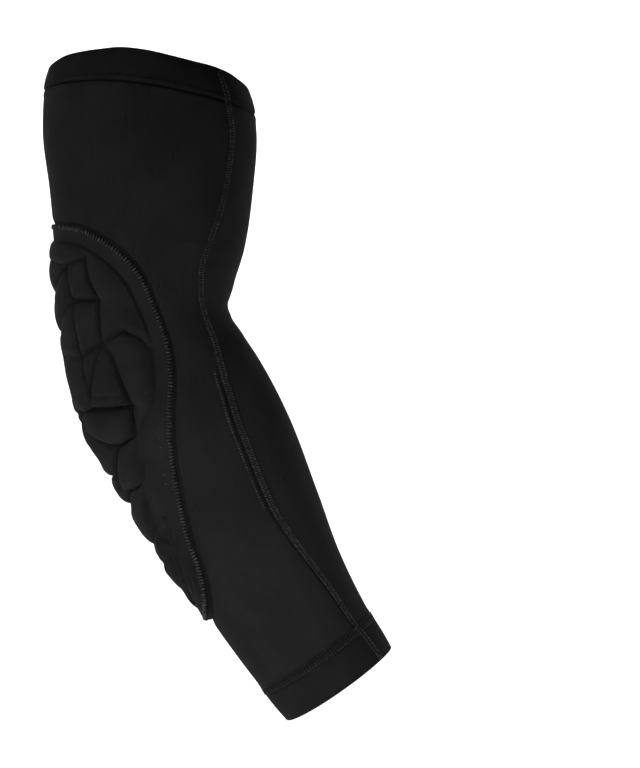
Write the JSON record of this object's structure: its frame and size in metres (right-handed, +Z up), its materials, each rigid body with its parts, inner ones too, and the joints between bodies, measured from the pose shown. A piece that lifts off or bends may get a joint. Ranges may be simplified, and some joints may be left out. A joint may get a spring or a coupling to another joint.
{
  "type": "elbow guard",
  "caption": "Padded elbow sleeve: a bent tube of stretch knit with a sewn band at each end and a quilted foam pad set into the back of the elbow.",
  "frame": {"origin": "inside the elbow, where the straight axes of the upper arm and the forearm cross", "axes": "+Z up along the upper arm, +X from the back of the elbow to its crook, -Y towards the inner side of the arm"},
  "size_m": [0.1745, 0.103, 0.3316],
  "materials": {
    "band_knit": "matte black rib-free stretch knit, folded double",
    "sleeve_knit": "matte black fine stretch knit",
    "pad_cloth": "matte black brushed knit moulded over foam",
    "thread": "dark grey sewing thread"
  },
  "bodies": {
    "root": {"upper_band": "band_knit", "sleeve": "sleeve_knit", "elbow_pad": "pad_cloth", "wrist_band": "band_knit"}
  },
  "joints": []
}
